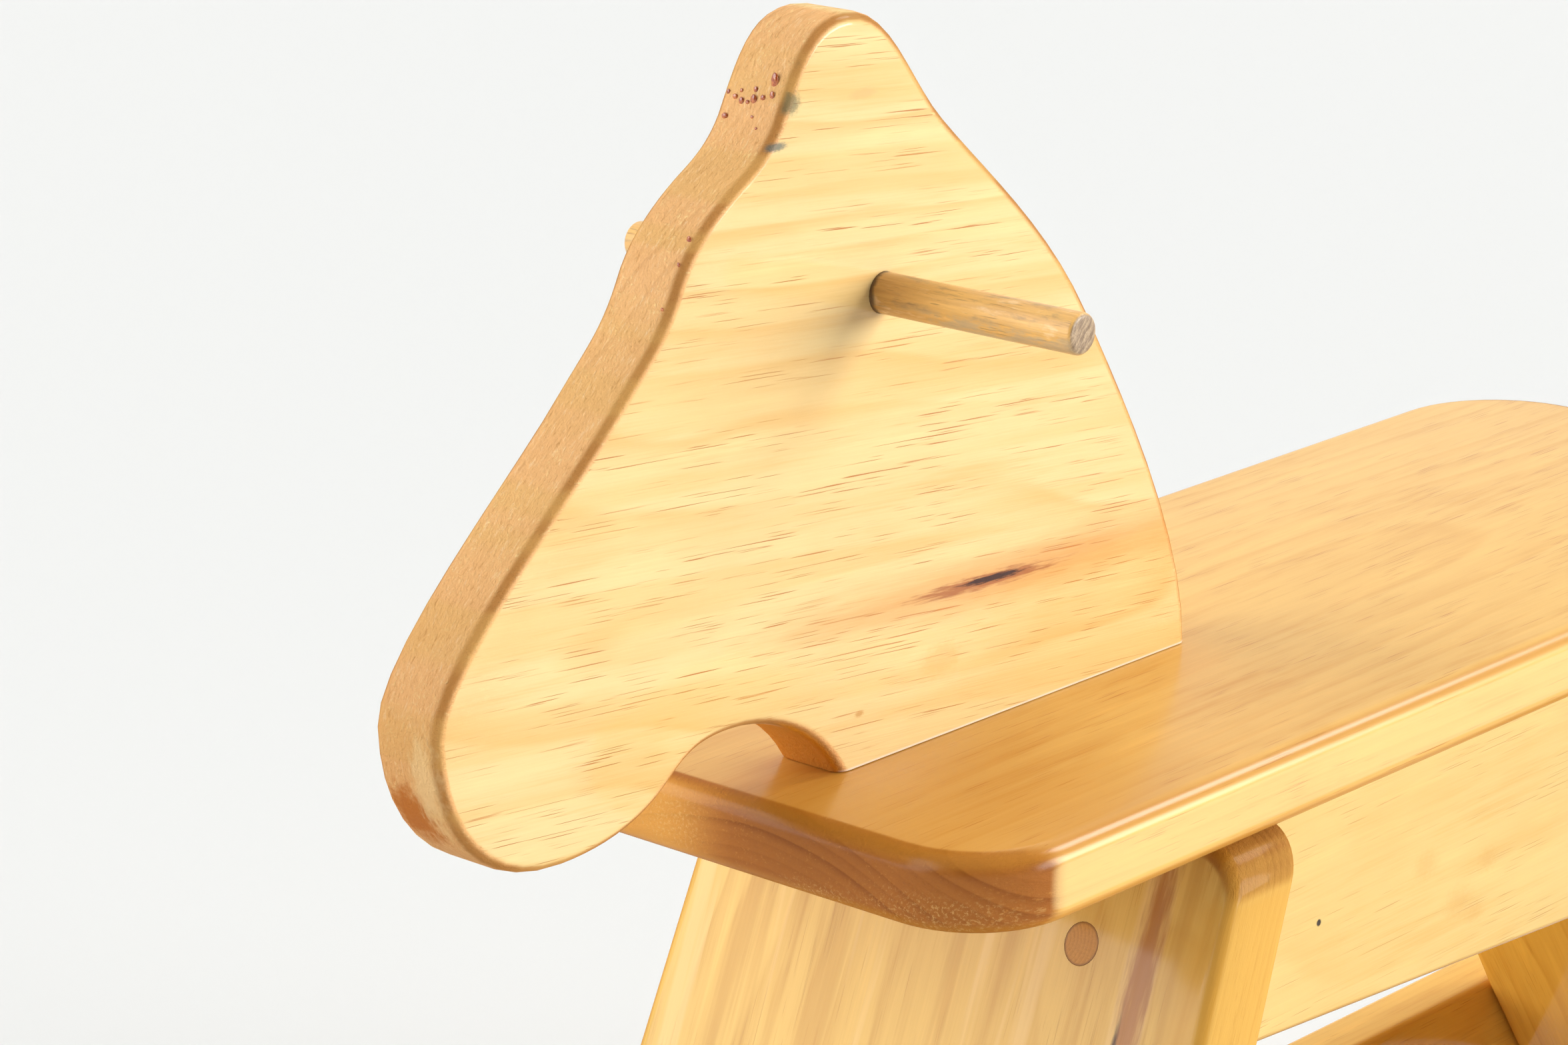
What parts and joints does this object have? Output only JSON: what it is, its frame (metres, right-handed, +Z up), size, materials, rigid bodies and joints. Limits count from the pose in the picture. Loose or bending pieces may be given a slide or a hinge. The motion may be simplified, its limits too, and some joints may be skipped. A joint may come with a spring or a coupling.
{
  "type": "rocking horse",
  "caption": "Child's ride-on rocking horse of varnished pine boards: flat horse-head board with a through handle, seat board, splayed leg panels, side rails and curved rockers.",
  "frame": {"origin": "on the floor, below the centre of the bounding box", "axes": "+Z up, -Y towards the muzzle, +X towards the horse's left side"},
  "size_m": [0.3166, 0.92, 0.6593],
  "materials": {
    "pine_board": "clear varnished pine with dark short grain flecks, satin gloss",
    "pine_seat": "clear varnished pine gone amber, glossy",
    "pine_handle": "round pine dowel, varnish worn and greyed by hands",
    "pin_end_grain": "dark end grain, cut flush and varnished",
    "hidden_dowel": "bare beech dowel, glued in",
    "screw_steel": "zinc plated countersunk screw"
  },
  "bodies": {
    "root": {"seat_board": "pine_seat", "head_board": "pine_board", "handle_dowel": "pine_handle", "front_leg_panel": "pine_board", "rear_leg_panel": "pine_board", "side_rail_left": "pine_board", "side_rail_right": "pine_board", "rocker_left": "pine_board", "rocker_right": "pine_board", "rail_pin_front_left": "pin_end_grain", "rail_pin_rear_left": "pin_end_grain", "rail_pin_front_right": "pin_end_grain", "rail_pin_rear_right": "pin_end_grain", "rocker_pin_front_left_lower": "pin_end_grain", "rocker_pin_front_left_upper": "pin_end_grain", "rocker_pin_rear_left_lower": "pin_end_grain", "rocker_pin_rear_left_upper": "pin_end_grain", "rocker_pin_front_right_lower": "pin_end_grain", "rocker_pin_front_right_upper": "pin_end_grain", "rocker_pin_rear_right_lower": "pin_end_grain", "rocker_pin_rear_right_upper": "pin_end_grain", "head_dowel_front": "hidden_dowel", "head_dowel_rear": "hidden_dowel", "seat_dowel_left_1": "hidden_dowel", "seat_dowel_left_2": "hidden_dowel", "seat_dowel_left_3": "hidden_dowel", "seat_dowel_right_1": "hidden_dowel", "seat_dowel_right_2": "hidden_dowel", "seat_dowel_right_3": "hidden_dowel", "head_screw_1": "screw_steel", "head_screw_2": "screw_steel", "head_screw_3": "screw_steel"}
  },
  "joints": []
}
